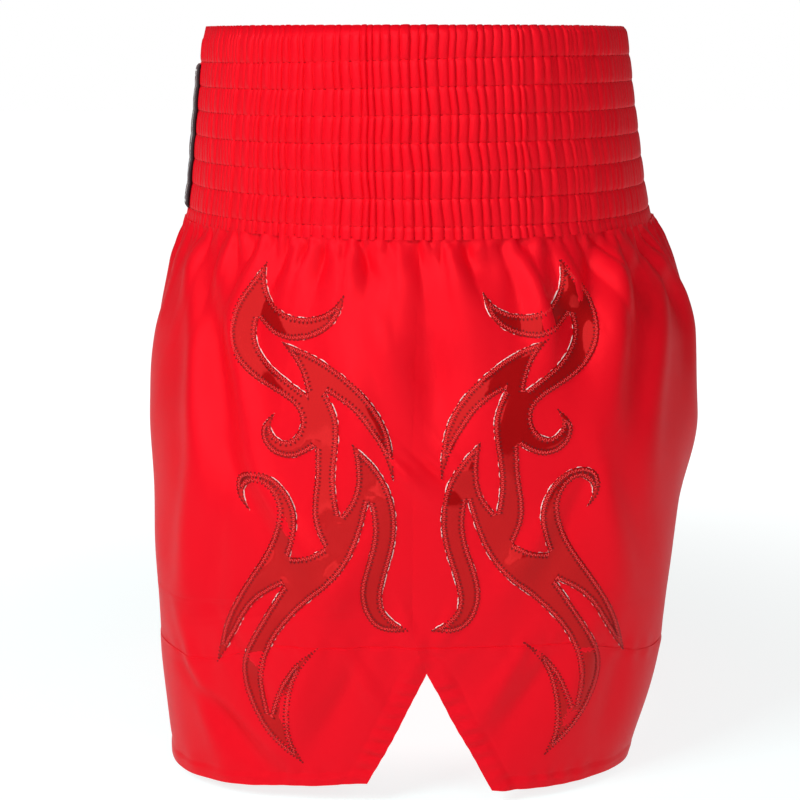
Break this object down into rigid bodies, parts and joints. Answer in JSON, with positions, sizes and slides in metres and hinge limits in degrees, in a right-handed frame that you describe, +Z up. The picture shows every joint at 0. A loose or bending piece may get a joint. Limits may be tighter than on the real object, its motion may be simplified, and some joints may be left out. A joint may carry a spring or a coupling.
{
  "type": "boxing shorts",
  "caption": "Thigh-length satin boxing shorts with a deep elasticated waistband, front label, side vents and cut-out gloss decoration on the legs.",
  "frame": {"origin": "centre of the waist opening, in the plane of the waistband's rim", "axes": "+Z up out of the waist opening, +X the wearer's left, -Y the wearer's front, +Y the wearer's back"},
  "size_m": [0.3488, 0.2957, 0.3834],
  "materials": {
    "waistband_satin": "gathered satin, soft sheen",
    "lining_cloth": "plain woven",
    "woven_label": "tight black weave with a pale woven border",
    "elastic": "braided, matt",
    "body_satin": "satin, soft sheen",
    "hem_satin": "satin, soft sheen",
    "backing_cloth": "knit, matt",
    "gloss_vinyl": "patent gloss"
  },
  "bodies": {
    "root": {"front_label": "woven_label", "left_back_applique": "gloss_vinyl", "left_back_backing": "backing_cloth", "left_back_hem_band": "hem_satin", "left_back_panel": "body_satin", "left_back_vent_facing": "hem_satin", "left_front_applique": "gloss_vinyl", "left_front_backing": "backing_cloth", "left_front_hem_band": "hem_satin", "left_front_panel": "body_satin", "left_front_vent_facing": "hem_satin", "right_back_applique": "gloss_vinyl", "right_back_backing": "backing_cloth", "right_back_hem_band": "hem_satin", "right_back_panel": "body_satin", "right_back_vent_facing": "hem_satin", "right_front_applique": "gloss_vinyl", "right_front_backing": "backing_cloth", "right_front_hem_band": "hem_satin", "right_front_panel": "body_satin", "right_front_vent_facing": "hem_satin", "waist_elastic_1": "elastic", "waist_elastic_2": "elastic", "waist_elastic_3": "elastic", "waist_elastic_4": "elastic", "waist_elastic_5": "elastic", "waist_elastic_6": "elastic", "waist_elastic_7": "elastic", "waistband_lining": "lining_cloth", "waistband_outer": "waistband_satin"}
  },
  "joints": []
}
